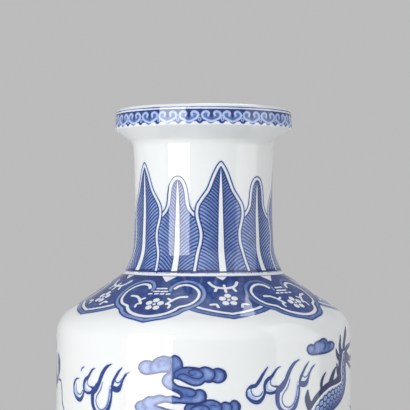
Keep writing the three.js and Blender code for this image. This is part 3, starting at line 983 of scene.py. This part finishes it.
class Ribbon:
    """The patch along a spine: how far along each place lies, how far to its left, and the half width."""

    def __init__(self, spine, margin):
        patch = self.patch = Patch(spine, margin + spine[:, 2].max())
        nearest = np.full(patch.shape, 1e3)
        self.along = np.zeros(patch.shape)
        self.side = np.zeros(patch.shape)
        self.width = np.ones(patch.shape)
        self.length = 0.0
        for a, b in zip(spine, spine[1:]):
            share, gap, side, length = patch.beside(a, b)
            nearer = gap < nearest
            nearest = np.where(nearer, gap, nearest)
            self.along = np.where(nearer, self.length + share * length, self.along)
            self.side = np.where(nearer, np.sign(side) * gap, self.side)
            self.width = np.where(nearer, a[2] + share * (b[2] - a[2]), self.width)
            self.length += float(length.mean())
        self.edge = nearest - self.width

    def scales(self, rows, shift, pitch, row):
        """Distances to the middle of the nearest scale; every other row is shifted by half a pitch."""
        number = np.floor(rows)
        sway = (fraction(self.along / pitch + 0.5 * (number % 2)) - 0.5) * pitch
        return np.hypot(sway, (rows - number - shift) * row)


def paint_skin(ribbon):
    """A dragon's skin: a dark saw-toothed fin, a bare line under it, rows of scales, and belly plates."""
    patch, edge, width, back = ribbon.patch, ribbon.edge, ribbon.width, -ribbon.side

    def changing(tail, body):
        return np.interp(ribbon.along, TAIL_LENGTH, [tail, body])

    line = changing(0.82, 0.66)
    below = back + width * changing(1.4, 0.52)
    lean = 1 - fraction(ribbon.along / FIN_STEP)
    fin = np.where(back > 0, (edge - FIN_HEIGHT * changing(0, 1) * lean**1.4) * 0.7, FAR)
    ends = np.maximum(TAIL_LENGTH[0] - ribbon.along, ribbon.along - ribbon.length + 4)
    patch.cover(np.maximum(fin, ends), 0.8)
    wash = np.interp(-back / width, [-0.8, 0.1, 0.8], [0.1, 0.26, 0.58])
    patch.cover(edge, wash + 0.2 * rim(edge, 1.1))
    patch.shade(np.maximum(width * (line + 0.08) - back, edge), 0.45, 0.5)
    ring = ribbon.scales((width * line - back) / SCALE_ROW, 0.06, SCALE_PITCH, SCALE_ROW) - SCALE_PITCH / 2
    skin = np.maximum.reduce([edge + 0.5, back - width * (line - 0.06), -below])
    patch.shade(np.maximum(ring + 1.3, skin), 0.3, 1.2)
    patch.draw(np.maximum(np.abs(ring) - changing(0.52, 0.42), skin), 0.9)
    patch.leave(np.maximum(np.abs(back - width * line) - changing(0.85, 0.62), edge + 0.3))
    patch.draw(np.maximum(np.abs(below) - 0.34, edge), 0.86)
    plates = np.abs(fraction(ribbon.along / PLATE_PITCH) - 0.5) * PLATE_PITCH - 0.32
    patch.draw(np.maximum.reduce([plates, edge, below]), 0.84)
    patch.shade(np.maximum(below, edge), -0.16, 0.5)
    patch.trace(edge + 0.2, 0.48, 0.9)


def paint_leg(*place):
    strokes(ELBOW_STROKES, place, 0.85)
    ribbon = Ribbon(placed(curve(LEG), *place), 3)
    patch, edge = ribbon.patch, ribbon.edge
    past_knob = ribbon.along > LEG_KNOB
    patch.cover(edge, 0.42 + 0.2 * np.where(past_knob, rim(edge, 1.2), 0))
    gap = ribbon.scales(ribbon.side / LEG_SCALE_ROW, 0, LEG_SCALE_PITCH, LEG_SCALE_ROW)
    patch.draw(np.maximum(np.abs(gap - LEG_SCALE_PITCH / 2) - 0.32, edge + 0.4), 0.8)
    patch.draw(np.where(past_knob, np.abs(edge + 0.2) - 0.45, FAR), 0.9)
    x, y = PAW
    toes = []
    for turn in TOES:
        toe = [((turn + bend) * DEGREE, reach, width) for reach, bend, width in TOE]
        toes.append([(x + reach * math.cos(t), y + reach * math.sin(t), width) for t, reach, width in toe])
    strokes(toes, place, 0.88)
    palm = placed([(x - 1, y), (x + 1, y)], *place)
    patch = Patch(palm, 6)
    edge = patch.line(palm, PAW_RADIUS)
    patch.cover(edge, 0.45)
    patch.trace(edge + 0.2, 0.42, 0.9)


def paint_head(*place):
    """A horned head with an open jaw, whiskers, a beard and a streaming mane."""
    strokes(MANE, place, 0.84)
    for outline in (JAW, HEAD):
        patch, edge = outlined(placed(curve(outline, closed=True), *place), 3)
        patch.cover(edge, 0.4 + 0.2 * rim(edge, 1.4))
        patch.trace(edge + 0.1, 0.45, 0.9)
    strokes([TONGUE], place, 0.6)
    for tooth in TEETH:
        patch, edge = outlined(placed(tooth, *place), 3)
        patch.cover(edge, 0)
        patch.leave(edge)
        patch.trace(edge - 0.2, 0.22, 0.88)
    eye = placed(EYE, *place)
    patch = Patch(eye, 4)
    patch.cover(patch.line(eye, 2.5), 0)
    patch.trace(patch.line(eye, 2.5), 0.38, 0.95)
    patch.draw(patch.line(eye + [0.1, 0], 0.9), 1)
    strokes(FACE_STROKES, place, 0.88)


def paint_pearl(angle, height):
    for turn in PEARL_FLAMES:
        strokes([PEARL_FLAME], (angle, height, turn, 1), 0.84)
    patch, edge = dot(*at_height([(angle, height)]), PEARL_RADIUS, 10)
    patch.cover(edge - 1.4, 0)
    patch.cover(edge, 0.3 + 0.25 * rim(edge, 1.5))
    patch.trace(edge, 0.45, 0.9)
    strokes([PEARL_SWIRL], (angle, height, 0, 1), 0.86)


def paint_dragon(turn):
    for points in TAIL_STROKES:
        brushed(shifted(points, turn), 1, 1.25)
    for angle, *place in LEGS_BEHIND:
        paint_leg(angle + turn, *place)
    paint_skin(Ribbon(at_height(curve(shifted(SPINE, turn))), FIN_HEIGHT + 2))
    for angle, *place in LEGS_BEFORE:
        paint_leg(angle + turn, *place)
    paint_head(DRAGON_HEAD[0] + turn, *DRAGON_HEAD[1:])
    paint_pearl(PEARL[0] + turn, PEARL[1])


def paint_waves():
    """Rows of ringed scallops round the foot, with spray over them."""
    pitch = 360 / WAVES_ROUND
    for number, turn in enumerate(SPRAY_PLACES):
        side = 1 - number % 2 * 2
        strokes(SPRAY, (turn, SPRAY_HEIGHT, 0, side), 0.8)
        paint_cloud(FOAM, FOAM_STROKES, turn, FOAM_HEIGHT, side, 0.1)
    for number, height in enumerate(WAVE_HEIGHTS):
        for i in range(WAVES_ROUND):
            middle = at_height([(pitch * (i + 0.5 * (number % 2)), height)] * 2)
            patch, edge = dot(middle[0], WAVE_RADIUS, WAVE_RADIUS + 2)
            patch.cover(edge, 0.12)
            patch.trace(edge + 0.2, 0.5, 0.86)
            for radius, washed in WAVE_RINGS:
                near = patch.line(middle, radius)
                patch.trace(near, 0.34, 0.8)
                if washed:
                    patch.shade(np.abs(near + 1.3) - 1.2, 0.34, 0.8)
    WASH[HEIGHT < WAVE_FOOT] = 0
    INK[HEIGHT < WAVE_FOOT] = FAR


def paint_body():
    """Clouds and flames between two dragons over breaking waves, the same in front and behind."""
    for half in (0, 180):
        paint_cloud(CLOUD, CLOUD_STROKES, half, 0)
        paint_cloud(LOWER_CLOUD, LOWER_CLOUD_STROKES, half, 0)
        paint_cloud(SMALL_CLOUD, SMALL_CLOUD_STROKES, half + 49, 308)
        paint_flame(half, 0, [FLAME_HOOK, FLAME_SPARK])
        paint_flame(half + FLAME_SHIFT, FLAME_RISE, [FLAME_TONGUE])
    for half in (0, 180):
        for angle, height, side, scrolled in CLOUD_PLACES:
            if scrolled:
                x, y = CLOUD_MIDDLE
                paint_cloud(CLOUD, CLOUD_STROKES, angle + half - side * x, height - y, side)
            else:
                paint_cloud(SMALL_CLOUD, SMALL_CLOUD_STROKES, angle + half, height, side)
    for half in (0, 180):
        paint_dragon(half)
    paint_waves()
    for height, half_width in HEEL_LINES:
        ring_line(height, half_width, 0.9)


def paint_vase():
    random = np.random.default_rng(7)
    paint_lip(random)
    paint_neck()
    paint_collar(random)
    paint_body()


paint_vase()


# Pieces of revolution, from the painted outside rows and the rest of each half section

def ring_faces(low, high):
    """Faces between two rings of points: corners, each corner's share of a turn, and which are on high."""
    if len(high) > len(low):
        corners, turn, upper = ring_faces(high, low)
        return corners[:, ::-1], turn[:, ::-1], ~upper[:, ::-1]
    if len(high) == 1:
        column = np.arange(len(low))
        corners = [low, np.roll(low, -1), high[0] + 0 * column]
        turn = [column / len(low), (column + 1) / len(low), (column + 0.5) / len(low)]
        upper = [False, False, True]
    else:
        share, count = len(low) // len(high), len(high)
        column = np.arange(count)
        below = [column * share + k for k in range(share + 1)]
        corners = [low[k % len(low)] for k in below] + [np.roll(high, -1), high]
        turn = [k / len(low) for k in below] + [(column + 1) / count, column / count]
        upper = [False] * (share + 1) + [True, True]
    return np.stack(corners, -1), np.stack(turn, -1), np.tile(upper, (len(column), 1))


def strip_count(radius, length):
    """How many strips cut the band that a line sweeps round Z into pieces near a square."""
    doublings = round(math.log2(2 * math.pi * radius / length) / 2)
    return min(MOST_STRIPS, 2 ** max(0, doublings))


def texture_places(turn, climb, strips, low, high):
    """Texture places of face corners: the band cut in strips, stacked between two heights of the texture.

    A corner on a strip's edge belongs to the strip after it.
    """
    strip = np.floor(turn.min(axis=1, keepdims=True) * strips + ON_EDGE)
    across = TEXTURE_GAP + (1 - 2 * TEXTURE_GAP) * (turn * strips - strip)
    up = (strip + TEXTURE_GAP + (1 - 2 * TEXTURE_GAP) * climb) / strips
    return np.stack([across, low + (high - low) * up], axis=-1)


def new_object(name, data):
    made = bpy.data.objects.new(name, data)
    bpy.context.scene.collection.objects.link(made)
    return made


def carry_painting(mesh, rows, every):
    """Keeps the painting on a piece's points: wash, line and bare distances, and the lines' depth."""
    carried = []
    for field, unpainted in ((WASH, 0), (INK, FAR), (BARE, FAR), (TONE, 0)):
        outer = field[rows, ::every].ravel()
        values = np.full(len(mesh.vertices), unpainted, dtype=np.float32)
        values[: len(outer)] = outer
        carried.append(values)
    painting = np.stack(carried[:3], axis=-1).ravel()
    mesh.attributes.new("painting", "FLOAT_VECTOR", "POINT").data.foreach_set("vector", painting)
    mesh.attributes.new("line_depth", "FLOAT", "POINT").data.foreach_set("value", carried[3])


def turned(name, rows, inside, columns, inside_columns, material):
    """One closed piece: a stretch of the outside's rows, and the line of the rest of its half section."""
    outside = OUTSIDE[rows]
    inner = turned_grid(inside, inside_columns, INSIDE_RIPPLE, INSIDE_RIPPLE_PITCH)
    parts = list(OUTSIDE_GRID[rows, :: COLUMNS // columns])
    parts += [ring[:1] if radius < SAME_POINT else ring for ring, radius in zip(inner, inside[:, 0])]
    points = np.vstack(parts)
    rings = np.split(np.arange(len(points)), np.cumsum([len(ring) for ring in parts])[:-1])
    rest = np.vstack([outside[-1:], inside, outside[:1]])
    bands = [
        (rings[: len(outside)], outside, 0, OUTSIDE_OF_TEXTURE),
        (rings[len(outside) - 1 :] + rings[:1], rest, OUTSIDE_OF_TEXTURE, 1),
    ]
    corners, sizes, places = [], [], []
    for lines, line, low, high in bands:
        climb = climb_of(line)
        strips = strip_count(line[:, 0].max(), climb[-1])
        for k in range(len(lines) - 1):
            if len(lines[k]) == 1 and len(lines[k + 1]) == 1:
                continue
            faces, turn, upper = ring_faces(lines[k], lines[k + 1])
            corners.append(faces.ravel())
            sizes.append(np.full(len(faces), faces.shape[1]))
            up = np.where(upper, climb[k + 1], climb[k]) / climb[-1]
            places.append(texture_places(turn, up, strips, low, high).reshape(-1, 2))
    corners, sizes, places = np.concatenate(corners), np.concatenate(sizes), np.concatenate(places)
    mesh = bpy.data.meshes.new(name)
    mesh.vertices.add(len(points))
    mesh.vertices.foreach_set("co", points.astype(np.float32).ravel())
    mesh.loops.add(len(corners))
    mesh.loops.foreach_set("vertex_index", corners.astype(np.int32))
    mesh.polygons.add(len(sizes))
    mesh.polygons.foreach_set("loop_start", (np.cumsum(sizes) - sizes).astype(np.int32))
    mesh.update(calc_edges=True)
    mesh.polygons.foreach_set("use_smooth", np.ones(len(sizes), dtype=bool))
    mesh.set_sharp_from_angle(angle=SHARP_DEGREES * DEGREE)
    texture = mesh.uv_layers.new(name="OFBake")
    texture.uv.foreach_set("vector", places.astype(np.float32).ravel())
    carry_painting(mesh, rows, COLUMNS // columns)
    mesh.materials.append(material)
    piece = new_object(name, mesh)
    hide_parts(name)
    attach(piece, "root")


# Materials

def connect(tree, value, socket):
    """Puts a value on a socket, or links an output to it."""
    if hasattr(value, "is_output"):
        tree.links.new(value, socket)
    else:
        socket.default_value = value


def node(tree, kind, inputs, **settings):
    """A new node, with values and links for the inputs that are named or numbered."""
    made = tree.nodes.new("ShaderNode" + kind)
    for name, setting in settings.items():
        setattr(made, name, setting)
    for socket, value in inputs.items():
        connect(tree, value, made.inputs[socket])
    return made


def maths(tree, operation, *values):
    return node(tree, "Math", dict(enumerate(values)), operation=operation).outputs[0]


def spread(tree, value, low, high, to_low=0, to_high=1):
    """A smooth step of a value from one range to another."""
    inputs = dict(enumerate((value, low, high, to_low, to_high)))
    return node(tree, "MapRange", inputs, interpolation_type="SMOOTHSTEP").outputs[0]


def noise(tree, place, size, detail=2):
    """Noise from 0 to 1 with features of about a size in metres."""
    return node(tree, "TexNoise", {"Scale": 1 / size, "Detail": detail, "Vector": place}).outputs["Fac"]


def specks(tree, place, spacing, radius):
    """Round specks about a spacing apart, 1 at their middle and 0 past a radius, both in metres."""
    cells = node(tree, "TexVoronoi", {"Scale": 1 / spacing, "Vector": place})
    return spread(tree, cells.outputs["Distance"], 0, radius / spacing, 1, 0)


def ramp(tree, value, stops):
    made = node(tree, "ValToRGB", {"Fac": value})
    elements = made.color_ramp.elements
    while len(elements) < len(stops):
        elements.new(0.5)
    for element, (place, colour) in zip(elements, stops):
        element.position = place
        element.color = (*colour, 1)
    return made.outputs["Color"]


def mixed(tree, share, first, second, blend_type="MIX"):
    first, second = [(*value, 1) if isinstance(value, tuple) else value for value in (first, second)]
    inputs = {0: share, 6: first, 7: second}
    return node(tree, "Mix", inputs, data_type="RGBA", blend_type=blend_type).outputs[2]


def bumped(tree, height, distance, **normal):
    inputs = {"Height": height, "Distance": distance, **normal}
    return node(tree, "Bump", inputs).outputs["Normal"]


def blank_material(name):
    material = bpy.data.materials.new(name)
    material.use_nodes = True
    tree = material.node_tree
    place = tree.nodes.new("ShaderNodeTexCoord").outputs["Object"]
    return material, tree, tree.nodes["Principled BSDF"], place


def painting_depth(tree, place):
    """Depth of the cobalt, 0 on bare white to 1, with the ragged edges and pools of brushed pigment."""
    painting = node(tree, "Attribute", {}, attribute_name="painting").outputs["Vector"]
    wash, ink, bare = node(tree, "SeparateXYZ", {"Vector": painting}).outputs
    line_depth = node(tree, "Attribute", {}, attribute_name="line_depth").outputs["Fac"]
    ragged = maths(tree, "MULTIPLY_ADD", noise(tree, place, 1.1 * MM), 0.3, -0.15)
    line = spread(tree, maths(tree, "ADD", ink, ragged), -LINE_SOFTNESS, LINE_SOFTNESS, 1, 0)
    white = spread(tree, maths(tree, "ADD", bare, ragged), -LINE_SOFTNESS, LINE_SOFTNESS)
    pools = maths(tree, "MULTIPLY_ADD", noise(tree, place, 5 * MM, 4), 0.66, 0.67)
    line_pools = maths(tree, "MULTIPLY_ADD", noise(tree, place, 3 * MM, 3), 0.34, 0.83)
    piled = maths(tree, "MULTIPLY", specks(tree, place, 1.6 * MM, 0.5 * MM), 0.16)
    washed = maths(tree, "MULTIPLY", maths(tree, "MULTIPLY", wash, white), pools)
    drawn = maths(tree, "MULTIPLY", maths(tree, "MULTIPLY", line_depth, line_pools), line)
    halo = maths(tree, "MULTIPLY", spread(tree, ink, 0, 1.6, 0.07, 0), white)
    depth = maths(tree, "MAXIMUM", maths(tree, "ADD", washed, halo), drawn)
    return maths(tree, "ADD", maths(tree, "MULTIPLY", depth, piled), depth)


def glaze(tree, shader, place):
    """Glossy white glaze over the painting, with a faint orange peel, pinholes and iron specks."""
    colour = ramp(tree, painting_depth(tree, place), COBALT)
    tint = mixed(tree, noise(tree, place, 60 * MM), GLAZE_WARM, GLAZE_COOL)
    iron = maths(tree, "MULTIPLY", specks(tree, place, 34 * MM, 0.35 * MM), 0.7)
    colour = mixed(tree, iron, mixed(tree, 1, colour, tint, "MULTIPLY"), IRON_SPECK)
    tree.links.new(colour, shader.inputs["Base Color"])
    rough = maths(tree, "MULTIPLY_ADD", noise(tree, place, 18 * MM), 0.04, 0.025)
    tree.links.new(rough, shader.inputs["Roughness"])
    shader.inputs["IOR"].default_value = GLAZE_IOR
    peel = bumped(tree, noise(tree, place, 2.6 * MM), 0.012 * MM)
    pinholes = maths(tree, "MULTIPLY", specks(tree, place, 15 * MM, 0.2 * MM), -1)
    return colour, bumped(tree, pinholes, 0.05 * MM, Normal=peel)


def glazed_material():
    material, tree, shader, place = blank_material("porcelain")
    tree.links.new(glaze(tree, shader, place)[1], shader.inputs["Normal"])
    return material


def foot_material():
    """The glaze ends in an uneven line over the bare clay, burnt orange beside it and stained below."""
    material, tree, shader, place = blank_material("foot")
    glazed, normal = glaze(tree, shader, place)
    z = node(tree, "SeparateXYZ", {"Vector": place}).outputs["Z"]
    height = maths(tree, "MULTIPLY_ADD", noise(tree, place, 9 * MM), GLAZE_END_WAVER, z)
    clay = mixed(tree, noise(tree, place, 1.3 * MM, 4), CLAY_PALE, CLAY_DARK)
    clay = mixed(tree, maths(tree, "MULTIPLY", noise(tree, place, 14 * MM), 0.7), clay, CLAY_STAIN)
    burnt = spread(tree, height, GLAZE_ENDS - BURNT_BAND, GLAZE_ENDS, 0, 0.85)
    clay = mixed(tree, burnt, clay, CLAY_BURNT)
    share = spread(tree, height, GLAZE_ENDS, GLAZE_ENDS + 0.3 * MM)
    tree.links.new(mixed(tree, share, clay, glazed), shader.inputs["Base Color"])
    tree.links.new(maths(tree, "MULTIPLY_ADD", share, -0.72, 0.82), shader.inputs["Roughness"])
    grit = maths(tree, "MULTIPLY", noise(tree, place, 0.7 * MM, 3), maths(tree, "SUBTRACT", 1, share))
    rough = bumped(tree, maths(tree, "ADD", grit, share), 0.25 * MM, Normal=normal)
    tree.links.new(rough, shader.inputs["Normal"])
    return material


def floor_material():
    material, tree, shader, place = blank_material("floor_paper")
    shader.inputs["Roughness"].default_value = FLOOR_ROUGH
    tone = mixed(tree, noise(tree, place, 0.3), FLOOR_PALE, FLOOR_PALER)
    tree.links.new(tone, shader.inputs["Base Color"])
    seen = node(tree, "LightPath", {}).outputs
    rays = maths(tree, "ADD", seen["Is Camera Ray"], seen["Is Glossy Ray"])
    rays = maths(tree, "MINIMUM", maths(tree, "ADD", rays, seen["Is Transmission Ray"]), 1)
    length = node(tree, "VectorMath", {0: place}, operation="LENGTH").outputs["Value"]
    share = maths(tree, "MULTIPLY", spread(tree, length, EVEN_BEGINS, EVEN_FULL), rays)
    even = node(tree, "Emission", {"Color": EVEN_TONE}).outputs[0]
    both = node(tree, "MixShader", {0: share, 1: shader.outputs[0], 2: even}).outputs[0]
    tree.links.new(both, tree.nodes["Material Output"].inputs["Surface"])
    return material


PORCELAIN = glazed_material()
FOOT = foot_material()


def vase_pieces():
    for name, section in SECTIONS.items():
        outer, inner = split_sides(section)
        low, high = outer[[0, -1], 1]
        at = np.flatnonzero((OUTSIDE[:, 1] > low - SAME_HEIGHT) & (OUTSIDE[:, 1] < high + SAME_HEIGHT))
        rows = slice(at[0], at[-1] + 1)
        if name == "floor_slab":
            inside = np.array([[0, high], [0, low]])
        else:
            inside = smooth_line(inner, INSIDE_STEP, INSIDE_STEP)[1:-1]
        columns = NECK_COLUMNS if name in ("neck", "neck_slip_joint", "mouth_slip_joint") else COLUMNS
        inside_columns = COLUMNS if name == "mouth" else INSIDE_COLUMNS
        material = FOOT if name == "foot_ring" else PORCELAIN
        turned(name, rows, inside, columns, inside_columns, material)


def floor_and_backdrop():
    """A pale round floor that bends up into a wall on all sides."""
    section = [(0, 0)]
    for degrees in range(0, 91, STAGE_BEND_STEP):
        bend = degrees * DEGREE
        out = STAGE_RADIUS - STAGE_BEND * (1 - math.sin(bend))
        section.append((out, STAGE_BEND * (1 - math.cos(bend))))
    section.append((STAGE_RADIUS, STAGE_HEIGHT))
    sheet = bmesh.new()
    points = [sheet.verts.new((out, 0, height)) for out, height in section]
    edges = [sheet.edges.new(pair) for pair in zip(points, points[1:])]
    turn = {"cent": (0, 0, 0), "axis": (0, 0, 1), "angle": 2 * math.pi, "steps": STAGE_COLUMNS}
    bmesh.ops.spin(sheet, geom=points + edges, **turn)
    bmesh.ops.remove_doubles(sheet, verts=sheet.verts, dist=0.1 * MM)
    for face in sheet.faces:
        face.smooth = True
    mesh = bpy.data.meshes.new("floor")
    sheet.to_mesh(mesh)
    sheet.free()
    mesh.materials.append(floor_material())
    floor = new_object("floor", mesh)


def area_light(name, place, target, width, height, power):
    data = bpy.data.lights.new(name, "AREA")
    data.shape = "RECTANGLE"
    data.size = width
    data.size_y = height
    data.energy = power
    lamp = new_object(name, data)
    lamp.location = place
    lamp.rotation_euler = (Vector(target) - Vector(place)).to_track_quat("-Z", "Y").to_euler()


def lights():
    """Two upright softboxes facing the axis, one high behind, and a room brighter above the camera."""
    for name, (turn, distance, width, low, high, power) in SOFTBOXES.items():
        heading = turn * DEGREE
        middle = (low + high) / 2
        place = (distance * math.sin(heading), -distance * math.cos(heading), middle)
        area_light(name, place, (0, 0, middle), width, high - low, power)
    area_light("back_softbox", *BACK_SOFTBOX)
    world = bpy.data.worlds.new("studio")
    bpy.context.scene.world = world
    world.use_nodes = True
    tree = world.node_tree
    heading = node(tree, "TexCoord", {}).outputs["Generated"]
    facing = node(tree, "VectorMath", {0: heading, 1: ROOM_BRIGHT_SIDE}, operation="DOT_PRODUCT")
    brightness = (ROOM_BRIGHT_BEGINS, 1, ROOM_DIM, ROOM_DIM + ROOM_BRIGHT)
    background = tree.nodes["Background"]
    background.inputs["Color"].default_value = ROOM_COLOUR
    tree.links.new(spread(tree, facing.outputs["Value"], *brightness), background.inputs["Strength"])


def camera():
    data = bpy.data.cameras.new("camera")
    data.sensor_width = SENSOR_WIDTH
    data.lens = LENS
    data.clip_start, data.clip_end = CAMERA_SEES
    eye = new_object("camera", data)
    eye.location = (0, -CAMERA_DISTANCE, CAMERA_HEIGHT)
    eye.rotation_euler = (math.pi / 2 + CAMERA_PITCH, 0, -CAMERA_YAW)
    bpy.context.scene.camera = eye


vase_pieces()
floor_and_backdrop()
lights()
camera()
bpy.context.scene.view_settings.view_transform = "Standard"
